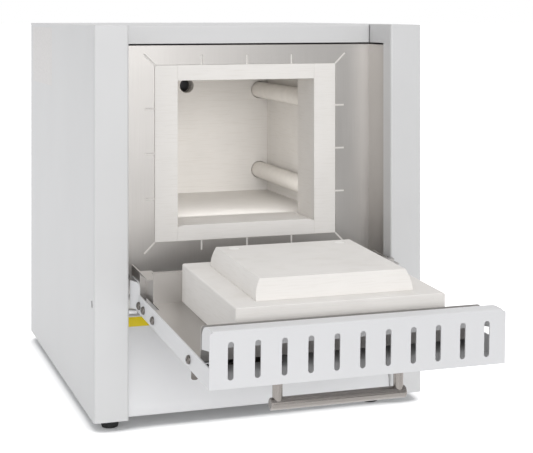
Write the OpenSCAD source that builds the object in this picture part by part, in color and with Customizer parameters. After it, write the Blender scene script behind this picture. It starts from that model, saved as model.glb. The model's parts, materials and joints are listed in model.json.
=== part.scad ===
// Dental laboratory furnace with a flap door that opens into a work shelf.
// X runs across the front, the front faces -Y, Z is up. The feet stand on Z = 0.
// Sizes are in millimetres. Body heights are counted from the underside of the housing,
// and depths from the front faces of the two pillars.

/* [Housing] */
// Width over the two side panels
body_w = 390; // [370:1:450]
// Depth from the pillar fronts to the rear cover
body_d = 460; // [450:1:560]
// Height of the housing without its feet
body_h = 434; // [425:1:500]
// Thickness of the painted sheet steel
sheet_t = 1.5; // [1:0.1:2]
// Width of each front pillar
pillar_w = 38.7; // [34:0.1:46]
// Depth of the pillar's inner return flange
pillar_return = 22.3; // [18:0.1:30]
// Outside radius of the bends in the painted sheets
bend_r = 2.5; // [2.2:0.1:4]
// Width of the rear flanges that the rear cover is screwed to
rear_flange = 14; // [11:1:20]
// Clearance at the edge of a sheet that slips between others
sheet_gap = 0.3; // [0.1:0.1:0.6]

/* [Feet] */
// Height of the feet below the housing
foot_h = 10; // [6:1:20]
// Diameter of the feet
foot_d = 20; // [14:1:26]
// Distance from the left side to the left feet
foot_in_left = 21.5; // [18:0.5:60]
// Distance from the right side to the right feet
foot_in_right = 57.5; // [18:0.5:90]
// Distance from the pillar fronts to the front feet
foot_in_front = 20; // [18:1:60]
// Distance from the rear cover to the rear feet
foot_in_rear = 30; // [20:1:80]

/* [Front recess] */
// Depth of the recess that the closed door fills
recess_deep = 65; // [62:0.5:80]
// Height of the painted lintel over the recess
lintel_h = 22; // [16:1:30]
// Gap at each end of the lintel
lintel_gap = 0.8; // [0.5:0.1:3]
// Thickness of the stainless lining
liner_t = 1; // [0.8:0.1:1.5]
// Dark joint between the lining and the lintel
liner_joint = 2; // [0.8:0.1:3]
// Length of the expansion slits round the muffle
slit_len = 11.5; // [6:0.5:14]
// Width of the expansion slits
slit_w = 2.2; // [1.5:0.1:3]
// Spacing of the expansion slits along the top and the bottom
slit_pitch_x = 55.6; // [40:0.1:65]
// Spacing of the expansion slits up the sides
slit_pitch_z = 51.8; // [40:0.1:60]

/* [Chamber] */
// Width of the chamber opening
opening_w = 168.6; // [160:0.1:176]
// Height from the chamber roof to the top of the housing
roof_space = 65; // [60:0.5:90]
// Height of the chamber floor above the housing underside
floor_z = 200.8; // [196:0.1:206]
// Width of the side boards round the opening
side_board = 27.3; // [22:0.1:30]
// Height of the boards above and below the opening
end_board = 18; // [16:0.1:24]
// Depth of the boards round the opening
collar_deep = 58.8; // [50:0.1:66]
// Space between the chamber's rear insulation and the rear cover
rear_space = 42.2; // [36:0.1:60]
// How far the chamber's side walls stand back behind the opening's edge
side_recess = 32.1; // [28:0.1:36]
// Thickness of the chamber's wall boards
wall_board = 27; // [20:1:30]
// Thickness of the fibre layer behind the rear wall board
rear_fibre = 50; // [30:1:60]
// Thickness of the fibre layer behind the front lining
front_fibre = 20; // [12:1:30]
// Air gap between the inner casing and the outer panels
casing_gap = 9.5; // [6:0.5:16]
// Thickness of the fibre layer under the chamber floor
floor_fibre = 44; // [34:1:46]
// Distance from the top of the inner casing down to the dark joint
casing_drop = 0.5; // [0.2:0.1:4]
// Diameter of the vent hole in the rear wall
vent_d = 19.8; // [14:0.1:24]
// Distance from the vent's centre down from the chamber roof
vent_drop = 21; // [16:0.5:30]

/* [Heating] */
// Outside diameter of the ceramic heater tubes
tube_d = 22; // [18:0.1:24]
// Wall of the heater tubes
tube_wall = 2.5; // [2:0.1:4]
// Gap between a heater tube and the chamber's side wall
tube_side_gap = 0.6; // [0.4:0.1:2]
// Distance from a tube's centre to the chamber roof or floor
tube_inset = 28.3; // [20:0.1:40]
// Radial clearance of the tubes in the rear wall board
tube_clear = 0.9; // [0.3:0.1:1.5]
// Diameter of the thermocouple sheath
probe_d = 6; // [4:0.5:8]
// Distance that the thermocouple stands into the chamber
probe_reach = 22; // [10:1:40]
// Thermocouple distance left of the middle
probe_left = 45; // [30:1:60]

/* [Console] */
// Height of the console's front bend
lip_top = 17.5; // [14:0.5:24]
// Height of the console's lower edge above the housing underside
lip_low = 2.5; // [1:0.1:4]
// Set-back of the console's lip behind the pillar fronts
lip_back = 5; // [3:0.5:10]
// Height of the shelf that ends the console
shelf_z = 106; // [100:0.5:108]
// Depth from the pillar fronts to the top of the slope
slope_back = 38; // [32:1:44]
// Width of the yellow strip along the top of the slope
strip_w = 10.5; // [6:0.5:16]
// Thickness of the yellow strip
strip_t = 0.5; // [0.3:0.1:1]
// Distance from the slope's top edge to the strip
strip_drop = 1.4; // [0.5:0.1:4]
// Width of the controller's bezel
bezel_w = 104; // [90:1:120]
// Height of the controller's bezel along the slope
bezel_h = 56; // [46:1:60]
// Thickness of the bezel
bezel_t = 4; // [3:0.5:6]
// Controller centre, right of the middle
bezel_x = 84; // [70:1:90]
// Distance up the slope from its lower bend to the row of controls
controls_v = 42; // [38:1:48]
// Diameter of the controller keys
key_d = 9; // [7:0.5:11]
// Travel of the keys
key_travel = 0.8; // [0.5:0.1:1.5]
// Radial clearance of a key in the bezel
key_clear = 0.3; // [0.3:0.05:0.6]
// Diameter of the limiter knob
knob_d = 26; // [20:1:30]
// Height of the limiter knob
knob_h = 13; // [10:1:18]
// Limiter knob centre, right of the middle
knob_x = 4; // [0:1:8]
// Mains switch centre, right of the middle
switch_x = -36; // [-40:1:-30]

/* [Door] */
// Gap between each side flange of the door and its pillar
door_gap = 8.15; // [7:0.05:12]
// Depth of the hinge axis behind the pillar fronts
hinge_back = 12; // [11:0.1:14]
// Height of the hinge axis above the housing underside
hinge_z = 127.8; // [126:0.1:129]
// How far the open door hangs below level, in degrees
door_tilt = 2.2; // [0:0.1:3]
// Distance from the hinge axis down to the door's outer skin
skin_below = 7; // [6.5:0.1:8]
// Distance from the closed door's end up to the top of the housing
door_top_gap = 0.7; // [0.5:0.1:6]
// Height of the side flanges
arm_h = 19.5; // [18:0.1:22]
// Height of the slotted end panel
end_h = 52.8; // [48:0.1:54]
// Height of the hinge ears above the hinge axis
ear_up = 26; // [20:0.1:27]
// Front edge of the hinge ears, from the hinge axis
ear_front = 24; // [20:0.1:28]
// Rear edge of the hinge ears, from the hinge axis
ear_rear = 14; // [12:0.1:16]
// Number of vent slots in the end panel
slot_count = 11; // [7:1:11]
// Distance from the sides of the door to the outermost vent slots
slot_margin = 19.9; // [16:0.1:30]
// Width of a vent slot
slot_w = 5.7; // [3:0.1:7]
// Length of a vent slot
slot_h = 35; // [24:0.5:38]
// Height of the tray floor above the hinge axis
tray_up = 10.8; // [9:0.1:12]
// Distance from the hinge axis to the tray's rear wall
tray_wall = 57; // [54:0.5:60]
// Height of the tray's rear wall above the hinge axis
tray_wall_up = 43; // [38:0.5:46]
// Distance from the door's end to the tray's front wall
tray_short = 44.5; // [40:0.5:50]
// Height of the tray's front wall above the hinge axis
tray_front_up = 40; // [36:0.1:41]
// Reach of the hooks behind the hinge axis
hook_rear = 20; // [16:0.5:20]
// Height of the hooks above the hinge axis
hook_up = 37; // [32:0.5:38]

/* [Door insulation] */
// How far the lower block laps over the collar at each side of the opening
block_lap = 24.1; // [16:0.1:27]
// Distance from the door's end to the lower block
block_short = 51; // [48:0.5:60]
// Gap between the closed plug and each side of the opening
plug_side_gap = 2; // [2:0.1:7]
// How far each side of the plug draws in towards its top
plug_draw = 5.6; // [4:0.1:10]
// Height of the plug
plug_h = 20.3; // [14:0.1:22]
// Gap between the closed plug and the chamber floor
plug_low_gap = 2.5; // [2:0.1:6]
// Gap between the closed plug and the chamber roof
plug_high_gap = 5.7; // [5:0.1:20]
// Slope of the plug's front face, measured along the door
plug_slope = 7.5; // [4:0.5:12]
// Distance from the tray's side to the air slide's knob
air_inset = 5.65; // [5:0.05:10]
// Distance from the handle's axis back to the air slide
air_behind = 15.6; // [15.2:0.1:26]
// Travel of the air slide
air_travel = 20; // [10:1:24]
// Diameter of the ceramic fixings
fixing_d = 12; // [8:0.5:16]
// Spacing of the two ceramic fixings
fixing_pitch = 120.4; // [90:0.1:130]

/* [Handle] */
// Diameter of the handle bar
bar_d = 12; // [10:0.5:14]
// Length of the handle bar
bar_len = 141; // [138:1:170]
// Spacing of the handle's two posts
post_pitch = 126; // [110:1:128]
// Diameter of the posts
post_d = 10; // [8:0.5:11]
// Distance from the door skin to the bar's axis
bar_off = 38.2; // [32:0.1:46]
// Distance from the door's end to the handle
bar_short = 59.9; // [50:0.1:76]

/* [Hinge] */
// Diameter of the hinge pins
pin_d = 8; // [6:0.5:9]
// Radial running clearance of the pins in their bushes
pin_clear = 0.05; // [0.02:0.01:0.1]
// Wall of the hinge bushes
bush_wall = 2; // [1.5:0.1:2.5]
// Diameter of the stop pins under the side flanges
stop_d = 4; // [3:0.5:5]

/* [Hidden] */
$fn = 48;

half_w = body_w / 2;
inner_half = half_w - pillar_w;
spigot_len = 25;
hinge_top = body_h - hinge_z;
door_len = hinge_top - door_top_gap;
door_w = 2 * (inner_half - door_gap);
front_reach = door_len * cos(door_tilt) + (end_h - skin_below) * sin(door_tilt) - hinge_back;
rear_reach = body_d + spigot_len;
front_y = (front_reach - rear_reach) / 2;

opening_h = body_h - floor_z - roof_space;
muffle_low = floor_z - end_board;
muffle_high = floor_z + opening_h + end_board;
roof_z = floor_z + opening_h;
muffle_half = opening_w / 2 + side_board;
collar_front = recess_deep - 0.3;
collar_back = recess_deep + collar_deep;
rear_wall_y = body_d - rear_space - rear_fibre - wall_board;
wall_x = opening_w / 2 + side_recess;
tube_x = wall_x - tube_side_gap - tube_d / 2;
tube_zs = [floor_z + tube_inset, roof_z - tube_inset];
vent_z = roof_z - vent_drop;
fibre_rear_y = body_d - rear_space;
casing_half = half_w - sheet_t - casing_gap;
casing_low = floor_z - wall_board - floor_fibre - liner_t;
liner_low = shelf_z;
liner_high = body_h - lintel_h - liner_joint;
casing_high = liner_high - casing_drop;
liner_half = inner_half - 0.1;

slope_run = slope_back - lip_back;
slope_rise = shelf_z - lip_top;
slope_len = norm([slope_run, slope_rise]);
slope_deg = atan2(slope_run, slope_rise);

tray_half = door_w / 2 - sheet_t;
tray_floor_half = tray_half - 1.8;
step_half = tray_half - 6.6;
block_top = hinge_face_gap() - hinge_back;
tray_end = door_len - tray_short;
block_w = opening_w + 2 * block_lap;
block_len = door_len - block_short - tray_wall;
plug_w = opening_w - 2 * plug_side_gap;
plug_top_w = plug_w - 2 * plug_draw;
plug_start = floor_z - hinge_z + plug_low_gap;
plug_len = opening_h - plug_low_gap - plug_high_gap;
bar_at = door_len - bar_short;
air_x = tray_half - air_inset;
air_at = bar_at - air_behind;
slot_pitch = (door_w - 2 * slot_margin) / (slot_count - 1);
pin_r = pin_d / 2;
bush_r = pin_r + pin_clear + bush_wall;
screw_s = [27.6, 48.2, 91.2, door_len - 69.1];
screw_up = 1.8;
screw_r = 2.4;
screw_hole_r = screw_r + 0.2;
screw_head_r = 4.4;
screw_head_h = 3.2;

paint_side = [0.80, 0.81, 0.81];
paint_front = [0.88, 0.88, 0.88];
stainless = [0.62, 0.60, 0.58];
fibre_board = [0.90, 0.88, 0.85];
black_plastic = [0.12, 0.12, 0.13];

// The closed door's block stops just short of the muffle's face.
function hinge_face_gap() = collar_front - 0.5;

function unit(v) = v / norm(v);
function left_of(a, b) = let (d = unit(b - a)) [-d[1], d[0]];
function mitre(p, i, t) =
  let (n1 = i > 0 ? left_of(p[i - 1], p[i]) : left_of(p[0], p[1]),
       n2 = i < len(p) - 1 ? left_of(p[i], p[i + 1]) : n1)
  p[i] + t * (n1 + n2) / (1 + n1 * n2);
// Closed outline of a bent sheet: the line p, thickened by t to its left.
function ribbon(p, t) = concat(p, [for (i = [len(p) - 1 : -1 : 0]) mitre(p, i, t)]);
function arc(c, r, from, to, steps = 6) =
  [for (i = [0 : steps]) let (a = from + (to - from) * i / steps) c + r * [cos(a), sin(a)]];

// Frame whose Y counts from the pillar fronts and whose Z counts from the housing underside.
module on_body() translate([0, front_y, foot_h]) children();
// Frame at the hinge axis that tilts with the open door: the door runs towards -Y.
module on_door() translate([0, front_y + hinge_back, foot_h + hinge_z]) rotate([door_tilt, 0, 0]) children();
// Frame on the console's slope: Y runs up the slope from its lower bend, Z points out of it.
module on_slope() on_body() translate([0, lip_back, lip_top]) rotate([90 - slope_deg, 0, 0]) children();
// Extrudes an outline drawn in (Y, Z) across the width from x0 to x1.
module across(x0, x1) translate([x0, 0, 0]) rotate([90, 0, 90]) linear_extrude(x1 - x0) children();
module box(lo, hi) translate(lo) cube(hi - lo);
module both_sides() {
  children();
  mirror([1, 0, 0]) children();
}
module round_rect(lo, hi, r) {
  translate(lo + [r, 0]) square(hi - lo - [2 * r, 0]);
  translate(lo + [0, r]) square(hi - lo - [0, 2 * r]);
  for (x = [lo[0] + r, hi[0] - r], y = [lo[1] + r, hi[1] - r]) translate([x, y]) circle(r);
}
module slot(w, h) {
  translate([-w / 2, -(h - w) / 2]) square([w, h - w]);
  for (s = [-1, 1]) translate([0, s * (h - w) / 2]) circle(w / 2);
}

module side_outline() {
  difference() {
    union() {
      round_rect([-half_w, 0], [-inner_half, pillar_return * 2], bend_r);
      translate([-half_w, pillar_return]) square([pillar_w, body_d - pillar_return]);
    }
    round_rect([-half_w + sheet_t, sheet_t], [-inner_half - sheet_t, pillar_return * 2], bend_r - sheet_t);
    translate([-half_w + sheet_t, pillar_return]) square([pillar_w, body_d]);
  }
  translate([-half_w + sheet_t / 2, body_d - 2 * sheet_t]) square([rear_flange, sheet_t]);
}
module side_panel() {
  mitre_top = [[sheet_t, body_h + 1], [sheet_t, body_h - sheet_t], [pillar_return + 1,
    body_h - lintel_h - 0.6], [pillar_return + 1, body_h + 1]];
  on_body() difference() {
    linear_extrude(body_h) side_outline();
    across(-inner_half - sheet_t - 1, -inner_half + 1) polygon(mitre_top);
    translate([0, hinge_back, hinge_z]) rotate([0, 90, 0]) cylinder(r = pin_r + 0.1, h = body_w, center = true);
    for (z = rear_screw_z) translate([-rear_screw_x, body_d - 3 * sheet_t, z])
      rotate([-90, 0, 0]) cylinder(d = 3.4, h = 4 * sheet_t);
  }
}
module left_side_panel() color(paint_side) side_panel();
module right_side_panel() color(paint_side) mirror([1, 0, 0]) side_panel();

lid_half = half_w - sheet_t - sheet_gap;
rear_screw_x = lid_half - rear_flange / 2;
rear_screw_z = [for (i = [0 : 3]) 30 + i * (body_h - 60) / 3];
module top_panel() color(paint_front) on_body() {
  front_fold = concat([[recess_deep, body_h - lintel_h]],
    arc([recess_deep + bend_r, body_h - bend_r], bend_r, 180, 90),
    [[body_d - 2 * sheet_t - sheet_gap, body_h]]);
  cheek = [[sheet_t + 0.2, body_h - sheet_t / 2], [sheet_t + 0.2, body_h - sheet_t],
    [pillar_return + 0.4, body_h - lintel_h], [recess_deep, body_h - lintel_h],
    [recess_deep, body_h - sheet_t / 2]];
  lintel_half = inner_half - lintel_gap;
  across(-lintel_half, lintel_half) polygon(ribbon(front_fold, -sheet_t));
  box([-lid_half, recess_deep + bend_r, body_h - sheet_t],
    [lid_half, body_d - 2 * sheet_t - sheet_gap, body_h]);
  both_sides() {
    box([inner_half, sheet_t + 0.2, body_h - sheet_t], [lid_half, recess_deep + bend_r + 1, body_h]);
    across(inner_half, inner_half + sheet_t) polygon(cheek);
  }
}

vent_cols = 6;
inlet_x = -110;
inlet_z = 60;
module rear_cover() color(paint_side) on_body() difference() {
  box([-lid_half, body_d - sheet_t, lip_low], [lid_half, body_d, body_h]);
  translate([0, body_d, vent_z]) rotate([90, 0, 0]) cylinder(r = vent_d / 2 + 3.2, h = 4 * sheet_t, center = true);
  translate([inlet_x, body_d - 2, inlet_z]) cube([28.4, 10, 20.4], center = true);
  for (x = [-rear_screw_x, rear_screw_x], z = rear_screw_z)
    translate([x, body_d, z]) rotate([90, 0, 0]) cylinder(d = 3.4, h = 4 * sheet_t, center = true);
  for (row = [0, 1], i = [0 : vent_cols - 1])
    translate([(i - (vent_cols - 1) / 2) * 40 + row * 10 - 5, body_d + 1, row == 0 ? 28 : body_h - 36])
      rotate([90, 0, 0]) linear_extrude(4) rotate(90) slot(4, 30);
}
module rear_screws() color("silver") on_body() both_sides() for (z = rear_screw_z)
  translate([rear_screw_x, body_d, z]) rotate([-90, 0, 0]) difference() {
    union() {
      translate([0, 0, -4 * sheet_t]) cylinder(d = 3, h = 4 * sheet_t);
      cylinder(r1 = 3.2, r2 = 2.2, h = 1.8);
    }
    translate([0, 0, 0.9]) cylinder(d = 2.4, h = 2, $fn = 6);
  }

tray_side = half_w - sheet_t - sheet_gap;
tray_front = lip_back + sheet_t + sheet_gap;
foot_xs = [-half_w + foot_in_left, half_w - foot_in_right];
foot_ys = [foot_in_front, body_d - foot_in_rear];
module base_tray() color(paint_side) on_body() difference() {
  union() {
    box([-inner_half + sheet_gap, tray_front, lip_low],
      [inner_half - sheet_gap, pillar_return + 1, lip_low + sheet_t]);
    box([-tray_side, pillar_return + sheet_gap, lip_low],
      [tray_side, body_d - 2 * sheet_t - sheet_gap, lip_low + sheet_t]);
    both_sides() {
      box([inner_half + sheet_t + sheet_gap, sheet_t + sheet_gap, lip_low],
        [tray_side, pillar_return + 1, lip_low + sheet_t]);
      box([tray_side - sheet_t, pillar_return + sheet_gap, lip_low],
        [tray_side, body_d - 2 * sheet_t - sheet_gap, lip_low + 18]);
    }
  }
  for (x = foot_xs, y = foot_ys) translate([x, y, 0]) cylinder(d = 5.4, h = 20, center = true);
}
module feet() color(black_plastic) for (x = foot_xs, y = foot_ys) translate([x, front_y + y, 0]) {
  cylinder(d1 = foot_d - 2, d2 = foot_d, h = foot_h / 2);
  translate([0, 0, foot_h / 2]) cylinder(d1 = foot_d, d2 = foot_d - 3, h = foot_h / 2 + lip_low);
  translate([0, 0, foot_h + lip_low]) cylinder(d = 5, h = sheet_t + 2);
}

console_half = inner_half - sheet_gap;
module front_console() color(paint_front) difference() {
  on_body() across(-console_half, console_half) polygon(ribbon([[lip_back, lip_low], [lip_back, lip_top],
    [slope_back, shelf_z], [recess_deep - 0.2, shelf_z]], -sheet_t));
  on_slope() {
    translate([bezel_x, controls_v, 0]) cube([bezel_w - 12, bezel_h - 12, 8], center = true);
    translate([knob_x, controls_v, 0]) cylinder(r = 4.4, h = 8, center = true);
    translate([switch_x, controls_v, 0]) cube([switch_w - 3, switch_h - 3, 8], center = true);
  }
}
module accent_strip() color([0.85, 0.76, 0.12]) on_slope()
  box([-console_half, slope_len - strip_drop - strip_w, 0], [console_half, slope_len - strip_drop, strip_t]);

display_w = 54;
display_h = 36;
key_names = ["up", "down", "menu", "start"];
key_pitch = 16;
module at_key(i) on_slope() translate([bezel_x + bezel_w / 2 - 14 - (i % 2) * key_pitch,
  controls_v + (i < 2 ? key_pitch / 2 : -key_pitch / 2), 0]) children();
module at_display() on_slope() translate([bezel_x - bezel_w / 2 + 8 + display_w / 2, controls_v, 0]) children();
module controller_bezel() color(black_plastic) difference() {
  on_slope() translate([bezel_x, controls_v, 0]) {
    linear_extrude(bezel_t) round_rect([-bezel_w / 2, -bezel_h / 2], [bezel_w / 2, bezel_h / 2], 4);
    translate([0, 0, -6]) linear_extrude(6) difference() {
      round_rect([-bezel_w / 2 + 6.4, -bezel_h / 2 + 6.4], [bezel_w / 2 - 6.4, bezel_h / 2 - 6.4], 1);
      round_rect([-bezel_w / 2 + 8.4, -bezel_h / 2 + 8.4], [bezel_w / 2 - 8.4, bezel_h / 2 - 8.4], 1);
    }
  }
  at_display() {
    translate([0, 0, bezel_t - 1]) linear_extrude(3) square([display_w, display_h], center = true);
    translate([0, 0, -1]) linear_extrude(9) square([display_w - 5, display_h - 5], center = true);
  }
  for (i = [0 : 3]) at_key(i) translate([0, 0, -1]) cylinder(r = key_d / 2 + key_clear, h = 9);
}
module controller_display() color([0.10, 0.16, 0.20]) at_display() {
  translate([0, 0, bezel_t - 1]) linear_extrude(1) square([display_w - 0.4, display_h - 0.4], center = true);
  translate([0, 0, -4]) linear_extrude(bezel_t + 3) square([display_w - 5.6, display_h - 5.6], center = true);
}
board_z = -6;
board_t = 1.6;
module control_board() color([0.10, 0.35, 0.20]) {
  for (i = [0 : 3]) at_key(i) translate([-3, -3, board_z - board_t / 2])
    cube([6, 6, key_low - key_travel - 0.1 - board_z + board_t / 2]);
  on_slope() translate([bezel_x, controls_v, board_z]) board();
}
module board() {
  translate([0, 0, -board_t]) linear_extrude(board_t) difference() {
    square([bezel_w - 14, bezel_h - 14], center = true);
    for (x = [-1, 1], y = [-1, 1]) translate([x * (bezel_w / 2 - 11), y * (bezel_h / 2 - 11)]) circle(1.6);
  }
  translate([-bezel_w / 2 + 34, 0, -board_t / 2]) linear_extrude(2 + board_t / 2) square([30, 20], center = true);
  for (i = [0 : 5]) translate([-30 + i * 12, -bezel_h / 2 + 16, -10]) cube([8, 9, 10 - board_t / 2]);
}
key_low = -2.4;
module key(i) at_key(i) {
  translate([0, 0, key_low]) cylinder(d = key_d, h = bezel_t + 1 - key_low);
  translate([0, 0, bezel_t + 1]) cylinder(d1 = key_d, d2 = key_d - 1.2, h = 0.6);
}
module key_up() color([0.75, 0.76, 0.78]) key(0);
module key_down() color([0.75, 0.76, 0.78]) key(1);
module key_menu() color([0.75, 0.76, 0.78]) key(2);
module key_start() color([0.20, 0.55, 0.35]) key(3);

module limiter_knob() color(black_plastic) on_slope() translate([knob_x, controls_v, 0]) difference() {
  union() {
    translate([0, 0, 1]) cylinder(d = knob_d, h = 3);
    translate([0, 0, 4]) cylinder(d1 = knob_d - 4, d2 = knob_d - 7, h = knob_h - 4);
    translate([0, 0, -8]) cylinder(r = 3, h = 10);
  }
  for (a = [0 : 30 : 359]) rotate(a) translate([knob_d / 2 - 2, 0, 4.01]) cylinder(r = 1.4, h = knob_h);
  translate([-0.7, knob_d / 4, knob_h - 0.8]) cube([1.4, knob_d / 2, 2]);
}
module limiter_body() color([0.85, 0.84, 0.78]) on_slope() translate([knob_x, controls_v, -sheet_t]) difference() {
  union() {
    translate([0, 0, -24]) linear_extrude(20) square([34, 30], center = true);
    translate([0, 0, -4]) cylinder(r = 8, h = 4);
    translate([0, 0, -1]) cylinder(r = 4.1, h = 2.4);
  }
  translate([0, 0, -10]) cylinder(r = 3 + pin_clear, h = 20);
}

switch_w = 22;
switch_h = 34;
rocker_w = 15;
rocker_len = 26;
module switch_frame() color(black_plastic) on_slope() translate([switch_x, controls_v, 0]) difference() {
  union() {
    linear_extrude(2.4) round_rect([-switch_w / 2, -switch_h / 2], [switch_w / 2, switch_h / 2], 2);
    translate([0, 0, -20]) linear_extrude(20) square([switch_w - 3.6, switch_h - 3.6], center = true);
  }
  translate([0, 0, -9]) linear_extrude(14) square([rocker_w + 0.8, rocker_len + 0.8], center = true);
  translate([0, 0, rocker_z]) rotate([0, 90, 0]) cylinder(r = 1.25, h = rocker_w + 2.2, center = true);
}
rocker_z = -1.5;
module switch_rocker() color([0.16, 0.16, 0.17]) on_slope() translate([switch_x, controls_v, rocker_z]) {
  rotate([12, 0, 0]) across(-rocker_w / 2, rocker_w / 2) polygon([[-rocker_len / 2 + 1, 4.2], [0, 5.2],
    [rocker_len / 2 - 1, 4.2], [rocker_len / 2 - 2, 1], [3, -4], [-3, -4], [-rocker_len / 2 + 2, 1]]);
  rotate([0, 90, 0]) cylinder(r = 1.2, h = rocker_w + 1.8, center = true);
}

liner_wrap = 33;
module front_liner() color(stainless) on_body() {
  difference() {
    box([-liner_half, recess_deep, liner_low], [liner_half, recess_deep + liner_t, liner_high]);
    box([-muffle_half - 0.4, recess_deep - 1, muffle_low - 0.4],
      [muffle_half + 0.4, recess_deep + 5, muffle_high + 0.4]);
    for (i = [-1 : 1]) {
      box([i * slit_pitch_x - slit_w / 2, recess_deep - 1, muffle_low - slit_len],
        [i * slit_pitch_x + slit_w / 2, recess_deep + 5, muffle_high + slit_len]);
      translate([0, 0, floor_z + opening_h / 2 + i * slit_pitch_z])
        box([-muffle_half - slit_len, recess_deep - 1, -slit_w / 2],
          [muffle_half + slit_len, recess_deep + 5, slit_w / 2]);
    }
    for (s = [-1, 1], z = [muffle_low, muffle_high])
      translate([s * muffle_half, recess_deep, z]) rotate([0, (z == muffle_low ? -1 : 1) * s * 45, 0])
        box([-slit_w / 2, -1, z == muffle_low ? -slit_len * 1.55 : 0],
          [slit_w / 2, 5, z == muffle_low ? 0 : slit_len * 1.55]);
  }
  both_sides() translate([0, 0, liner_low]) linear_extrude(liner_high - liner_low)
    polygon(ribbon([[liner_half, recess_deep + liner_t / 2], [liner_half, liner_wrap],
      [liner_half + 1.2, pillar_return + 0.4]], -liner_t));
}

module casing_shell(inset) box([-casing_half + inset, front_y_casing(inset), casing_low + inset],
  [casing_half - inset, fibre_rear_y + (inset > 0 ? 0 : liner_t), casing_high - inset]);
function front_y_casing(inset) = recess_deep + liner_t - (inset > 0 ? 1 : 0);
module rear_passages(grow) {
  for (s = [-1, 1], z = tube_zs) translate([s * tube_x, rear_wall_y - 1, z]) rotate([-90, 0, 0])
    cylinder(r = tube_d / 2 + grow, h = 200);
  translate([0, rear_wall_y - 1, vent_z]) rotate([-90, 0, 0]) cylinder(r = vent_d / 2, h = 200);
  translate([-probe_left, rear_wall_y - 1, chamber_mid]) rotate([-90, 0, 0]) cylinder(r = probe_d / 2 + 0.1, h = 200);
}
chamber_mid = floor_z + opening_h / 2;
module inner_casing() color(stainless) on_body() difference() {
  casing_shell(0);
  casing_shell(liner_t);
  rear_passages(0.2);
  translate([0, rear_wall_y, vent_z]) rotate([-90, 0, 0]) cylinder(r = vent_d / 2 + 3.1, h = 200);
}
rail_out = casing_half - 34;
rail_in = rail_out - 22;
rail_start = recess_deep + front_fibre;
module support_rails() color("silver") on_body() both_sides()
  translate([0, rail_start, 0]) rotate([-90, 0, 0]) linear_extrude(fibre_rear_y - 20 - rail_start)
    mirror([0, 1]) polygon(ribbon([[rail_out, lip_low + sheet_t], [rail_in, lip_low + sheet_t],
      [rail_in, casing_low], [rail_out, casing_low]], -sheet_t));

module collar_side() color(fibre_board) on_body() box([opening_w / 2, collar_front, muffle_low],
  [muffle_half, collar_back, muffle_high]);
module collar_right_board() collar_side();
module collar_left_board() mirror([1, 0, 0]) collar_side();
module collar_top_board() color(fibre_board) on_body() box([-opening_w / 2, collar_front, roof_z],
  [opening_w / 2, collar_back, muffle_high]);
// Its upper edge falls away a little towards the two side boards.
module collar_bottom_board() color(fibre_board) on_body() translate([0, collar_back, 0]) rotate([90, 0, 0])
  linear_extrude(collar_back - collar_front) polygon([[-opening_w / 2, muffle_low], [opening_w / 2, muffle_low],
    [opening_w / 2, floor_z - corner_drop], [opening_w / 2 - corner_run, floor_z],
    [-opening_w / 2 + corner_run, floor_z], [-opening_w / 2, floor_z - corner_drop]]);
corner_drop = 2;
corner_run = 6.5;
module chamber_side_walls() color(fibre_board) on_body() both_sides() box([wall_x, collar_back, floor_z],
  [wall_x + wall_board, rear_wall_y, roof_z]);
module chamber_roof() color(fibre_board) on_body() box([-wall_x - wall_board, collar_back, roof_z],
  [wall_x + wall_board, rear_wall_y + wall_board, roof_z + wall_board]);
module chamber_floor() color(fibre_board) on_body() box([-wall_x - wall_board, collar_back, floor_z - wall_board],
  [wall_x + wall_board, rear_wall_y + wall_board, floor_z]);
module chamber_rear_wall() color(fibre_board) on_body() difference() {
  box([-wall_x - wall_board, rear_wall_y, floor_z], [wall_x + wall_board, rear_wall_y + wall_board, roof_z]);
  rear_passages(tube_clear);
}
fibre_half = casing_half - liner_t;
fibre_low = casing_low + liner_t;
fibre_high = casing_high - liner_t;
front_fibre_y = recess_deep + liner_t;
module front_insulation() color(fibre_board) on_body() difference() {
  box([-fibre_half, front_fibre_y, fibre_low], [fibre_half, front_fibre_y + front_fibre, fibre_high]);
  box([-muffle_half, front_fibre_y - 1, muffle_low], [muffle_half, front_fibre_y + front_fibre + 1, muffle_high]);
}
module side_insulation() color(fibre_board) on_body() both_sides() {
  box([wall_x + wall_board, front_fibre_y + front_fibre, fibre_low], [fibre_half, fibre_rear_y, fibre_high]);
  box([muffle_half, front_fibre_y + front_fibre, muffle_low], [wall_x + wall_board, collar_back, muffle_high]);
}
module roof_insulation() color(fibre_board) on_body() {
  box([-wall_x - wall_board, collar_back, roof_z + wall_board], [wall_x + wall_board, fibre_rear_y, fibre_high]);
  box([-wall_x - wall_board, front_fibre_y + front_fibre, muffle_high], [wall_x + wall_board, collar_back, fibre_high]);
}
module floor_insulation() color(fibre_board) on_body() {
  box([-wall_x - wall_board, collar_back, fibre_low], [wall_x + wall_board, fibre_rear_y, floor_z - wall_board]);
  box([-wall_x - wall_board, front_fibre_y + front_fibre, fibre_low], [wall_x + wall_board, collar_back, muffle_low]);
}
module rear_insulation() color(fibre_board) on_body() difference() {
  box([-wall_x - wall_board, rear_wall_y + wall_board, floor_z - wall_board],
    [wall_x + wall_board, fibre_rear_y, roof_z + wall_board]);
  rear_passages(0.2);
  translate([0, rear_wall_y + wall_board - 1, vent_z]) rotate([-90, 0, 0]) cylinder(r = vent_d / 2 + 3.1, h = 200);
}

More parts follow.
